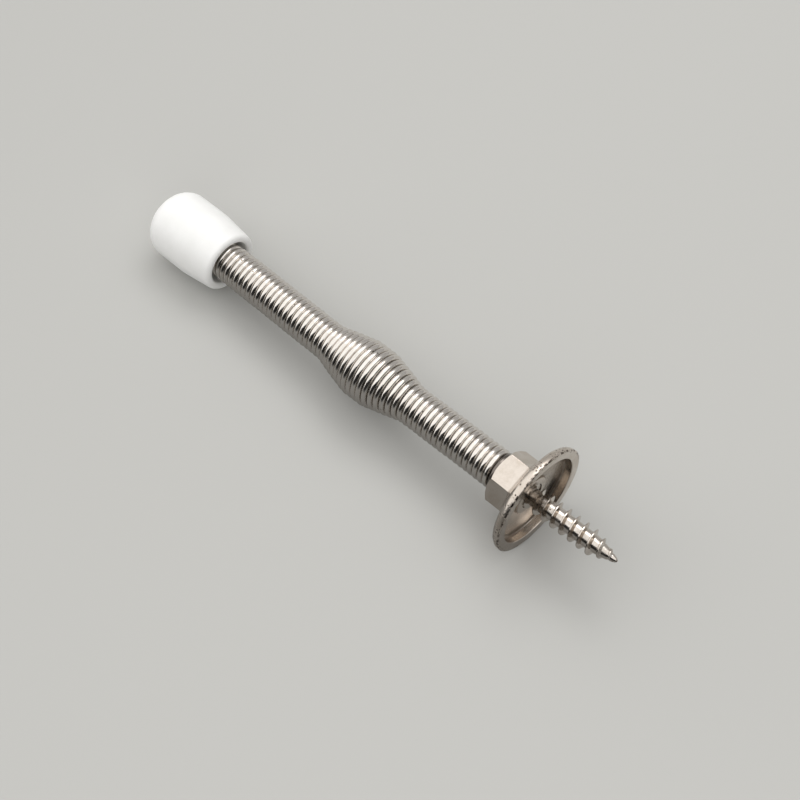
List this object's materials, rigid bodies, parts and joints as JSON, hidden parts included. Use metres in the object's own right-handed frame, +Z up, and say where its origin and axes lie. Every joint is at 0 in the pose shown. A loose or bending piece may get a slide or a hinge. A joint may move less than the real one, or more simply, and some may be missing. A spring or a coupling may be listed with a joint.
{
  "type": "spring door stop",
  "caption": "Wall-mounted door stop: a screw-in hexagonal base with a round flange, a flexible close-wound spring with a bulge at mid-length, and a soft white tip.",
  "frame": {"origin": "centre of the flange's rim plane, on the axis, where the stop meets the wall", "axes": "+X along the axis from the wall to the soft tip, +Z up; the screw points along -X"},
  "size_m": [0.0946, 0.0182, 0.0182],
  "materials": {
    "tip_rubber": "smooth white rubber, satin",
    "spring_wire": "bright nickel-plated wire",
    "base_nickel": "satin nickel plate, slightly pitted at the rim",
    "screw_nickel": "bright nickel plate"
  },
  "bodies": {
    "mount": {"base": "base_nickel", "screw": "screw_nickel"},
    "sway": {"spring": "spring_wire", "rubber_tip": "tip_rubber"}
  },
  "joints": [
    {"name": "spring_sway", "type": "hinge", "parent": "mount", "child": "sway", "pos_m": [0.00687, 0, 0], "axis": [0, 0, 1], "range_deg": [-30, 30], "stiffness_Nm_per_rad": 0.05, "deforming": ["spring"]}
  ]
}
